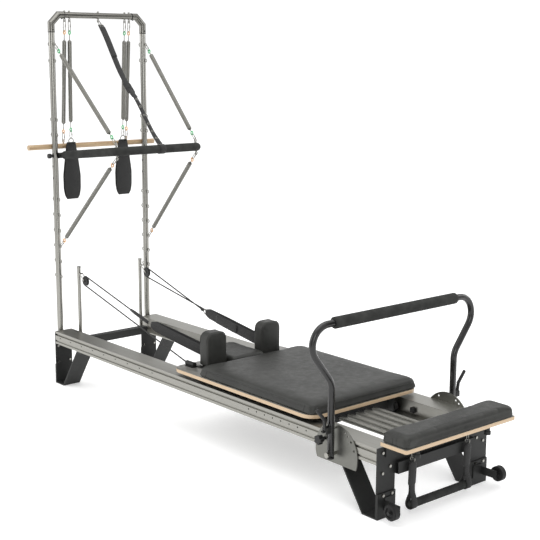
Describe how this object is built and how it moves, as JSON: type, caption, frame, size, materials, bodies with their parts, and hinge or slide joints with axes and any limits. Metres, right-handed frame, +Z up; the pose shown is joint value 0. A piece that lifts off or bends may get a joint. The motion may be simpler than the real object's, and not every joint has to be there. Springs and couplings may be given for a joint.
{
  "type": "pilates reformer",
  "caption": "Long low frame with a padded sliding carriage on springs, a folding footbar, a tubular half tower with a push-through bar, hanging springs, loops and a roll-down bar.",
  "frame": {"origin": "on the floor under the middle of the machine's bounding box", "axes": "+X towards the foot end (footbar and standing platform), -X towards the tower; +Y across the machine, -Y the side with the side knob; +Z up"},
  "size_m": [2.6364, 0.969, 1.9879],
  "materials": {
    "aluminium": "satin anodised",
    "black_steel": "fine texture",
    "bright_steel": "satin",
    "spring_steel": "polished",
    "vinyl": "grained vinyl",
    "foam_sleeve": "matte foam",
    "plywood": "satin lacquer",
    "light_wood": "satin lacquer",
    "black_rubber": "matte",
    "wheel_nylon": "matte",
    "rope": "braided",
    "webbing": "woven"
  },
  "bodies": {
    "frame": {"rails": "aluminium", "crossmember_head": "black_steel", "crossmember_foot": "black_steel", "leg_plates": "black_steel", "leg_struts": "black_steel", "leg_bolts": "bright_steel", "carriage_stops": "black_rubber", "platform_board": "plywood", "platform_pad": "vinyl", "platform_fittings": "black_steel", "spring_bar": "bright_steel", "footbar_plates": "bright_steel", "wheel_brackets": "black_steel", "pulley_posts": "bright_steel", "pulley_hangers": "bright_steel", "uprights": "bright_steel", "upright_clamps": "black_steel", "tower_elbows": "bright_steel", "top_bar": "bright_steel", "tower_eyes": "bright_steel", "ropes": "rope", "carriage_springs": "spring_steel", "push_bar_springs": "spring_steel", "safety_strap": "webbing"},
    "carriage": {"carriage_board": "plywood", "carriage_pad": "vinyl", "carriage_frame": "black_steel", "rope_cleats": "black_steel", "shoulder_sockets": "black_steel", "hand_strap_near": "webbing", "hand_strap_far": "webbing"},
    "head_wheels": {"wheels_head": "wheel_nylon"},
    "foot_wheels": {"wheels_foot": "wheel_nylon"},
    "headrest": {"headrest_board": "plywood", "headrest_pad": "vinyl"},
    "rest_near": {"shoulder_rest_near": "vinyl", "shoulder_post_near": "bright_steel"},
    "rest_far": {"shoulder_rest_far": "vinyl", "shoulder_post_far": "bright_steel"},
    "footbar": {"footbar_tube": "black_steel", "footbar_sleeve": "foam_sleeve", "footbar_bolts": "bright_steel"},
    "footbar_lever_near": {"lever_near": "black_steel"},
    "footbar_lever_far": {"lever_far": "black_steel"},
    "knob": {"side_knob": "black_steel"},
    "roller_near": {"transport_wheel_near": "black_rubber"},
    "roller_far": {"transport_wheel_far": "black_rubber"},
    "sheave_near": {"pulley_near": "wheel_nylon"},
    "sheave_far": {"pulley_far": "wheel_nylon"},
    "push_bar": {"push_bar_frame": "black_steel", "push_bar_sleeve": "foam_sleeve"},
    "pin_near": {"pull_pin_near": "black_steel"},
    "pin_far": {"pull_pin_far": "black_steel"},
    "roll_hanger": {"roll_springs": "spring_steel"},
    "roll_down_bar": {"roll_bar": "light_wood"},
    "loop_hanger_near": {"loop_spring_near": "spring_steel"},
    "hand_loop_near": {"loop_near": "webbing"},
    "loop_hanger_far": {"loop_spring_far": "spring_steel"},
    "hand_loop_far": {"loop_far": "webbing"},
    "standing_strap": {"foot_strap": "webbing"}
  },
  "joints": [
    {"name": "carriage_slide", "type": "slide", "parent": "frame", "child": "carriage", "axis": [-1, 0, 0], "range_m": [0, 0.77], "stiffness_N_per_m": 400, "springref_m": -0.05, "deforming": ["carriage_springs", "ropes", "hand_strap_near", "hand_strap_far"]},
    {"name": "head_wheels_roll", "type": "hinge", "parent": "carriage", "child": "head_wheels", "pos_m": [-0.1218, 0, 0.2481], "axis": [0, -1, 0], "continuous": true},
    {"name": "foot_wheels_roll", "type": "hinge", "parent": "carriage", "child": "foot_wheels", "pos_m": [0.7482, 0, 0.2481], "axis": [0, -1, 0], "continuous": true},
    {"name": "headrest_tilt", "type": "hinge", "parent": "carriage", "child": "headrest", "pos_m": [0.0072, 0, 0.366], "axis": [0, 1, 0], "range_deg": [0, 35]},
    {"name": "rest_lift_near", "type": "slide", "parent": "carriage", "child": "rest_near", "axis": [0, 0, 1], "range_m": [0, 0.03]},
    {"name": "rest_lift_far", "type": "slide", "parent": "carriage", "child": "rest_far", "axis": [0, 0, 1], "range_m": [0, 0.03]},
    {"name": "footbar_pivot", "type": "hinge", "parent": "frame", "child": "footbar", "pos_m": [0.9482, 0, 0.215], "axis": [0, 1, 0], "range_deg": [-25, 80]},
    {"name": "lever_squeeze_near", "type": "hinge", "parent": "footbar", "child": "footbar_lever_near", "pos_m": [0.9482, -0.396, 0.327], "axis": [-1, 0, 0], "range_deg": [0, 12], "stiffness_Nm_per_rad": 3, "springref_deg": -8.59},
    {"name": "lever_squeeze_far", "type": "hinge", "parent": "footbar", "child": "footbar_lever_far", "pos_m": [0.9482, 0.396, 0.327], "axis": [1, 0, 0], "range_deg": [0, 12], "stiffness_Nm_per_rad": 3, "springref_deg": -8.59},
    {"name": "knob_turn", "type": "hinge", "parent": "frame", "child": "knob", "pos_m": [0.8832, -0.335, 0.259], "axis": [0, -1, 0], "continuous": true},
    {"name": "roller_spin_near", "type": "hinge", "parent": "frame", "child": "roller_near", "pos_m": [1.2482, -0.322, 0.055], "axis": [0, 1, 0], "continuous": true},
    {"name": "roller_spin_far", "type": "hinge", "parent": "frame", "child": "roller_far", "pos_m": [1.2482, 0.322, 0.055], "axis": [0, 1, 0], "continuous": true},
    {"name": "pulley_spin_near", "type": "hinge", "parent": "frame", "child": "sheave_near", "pos_m": [-1.1418, -0.198, 0.567], "axis": [0, 1, 0], "continuous": true},
    {"name": "pulley_spin_far", "type": "hinge", "parent": "frame", "child": "sheave_far", "pos_m": [-1.1418, 0.198, 0.567], "axis": [0, 1, 0], "continuous": true},
    {"name": "push_bar_pivot", "type": "hinge", "parent": "frame", "child": "push_bar", "pos_m": [-1.2738, 0, 1.235], "axis": [0, -1, 0], "range_deg": [0, 35], "deforming": ["push_bar_springs", "safety_strap"]},
    {"name": "pin_pull_near", "type": "slide", "parent": "push_bar", "child": "pin_near", "axis": [0, -1, 0], "range_m": [0, 0.012], "stiffness_N_per_m": 400, "springref_m": -0.01},
    {"name": "pin_pull_far", "type": "slide", "parent": "push_bar", "child": "pin_far", "axis": [0, 1, 0], "range_m": [0, 0.012], "stiffness_N_per_m": 400, "springref_m": -0.01},
    {"name": "roll_bar_swing", "type": "hinge", "parent": "frame", "child": "roll_hanger", "pos_m": [-1.2738, 0, 1.9391], "axis": [0, 1, 0], "range_deg": [0, 40]},
    {"name": "roll_bar_pull", "type": "slide", "parent": "roll_hanger", "child": "roll_down_bar", "axis": [0, 0, -1], "range_m": [0, 0.24], "stiffness_N_per_m": 350, "springref_m": -0.04, "deforming": ["roll_springs"]},
    {"name": "loop_swing_near", "type": "hinge", "parent": "frame", "child": "loop_hanger_near", "pos_m": [-1.2738, 0, 1.9391], "axis": [0, -1, 0], "range_deg": [0, 20]},
    {"name": "loop_pull_near", "type": "slide", "parent": "loop_hanger_near", "child": "hand_loop_near", "axis": [0, 0, -1], "range_m": [0, 0.25], "stiffness_N_per_m": 200, "springref_m": -0.04, "deforming": ["loop_spring_near"]},
    {"name": "loop_swing_far", "type": "hinge", "parent": "frame", "child": "loop_hanger_far", "pos_m": [-1.2738, 0, 1.9391], "axis": [0, -1, 0], "range_deg": [0, 20]},
    {"name": "loop_pull_far", "type": "slide", "parent": "loop_hanger_far", "child": "hand_loop_far", "axis": [0, 0, -1], "range_m": [0, 0.25], "stiffness_N_per_m": 200, "springref_m": -0.04, "deforming": ["loop_spring_far"]},
    {"name": "standing_strap_swing", "type": "hinge", "parent": "frame", "child": "standing_strap", "pos_m": [1.2042, 0, 0.292], "axis": [0, -1, 0], "range_deg": [0, 60]}
  ],
  "couplings": [
    {"joint": "head_wheels_roll", "follows": "carriage_slide", "rad_per_m": 50},
    {"joint": "foot_wheels_roll", "follows": "carriage_slide", "rad_per_m": 50}
  ]
}
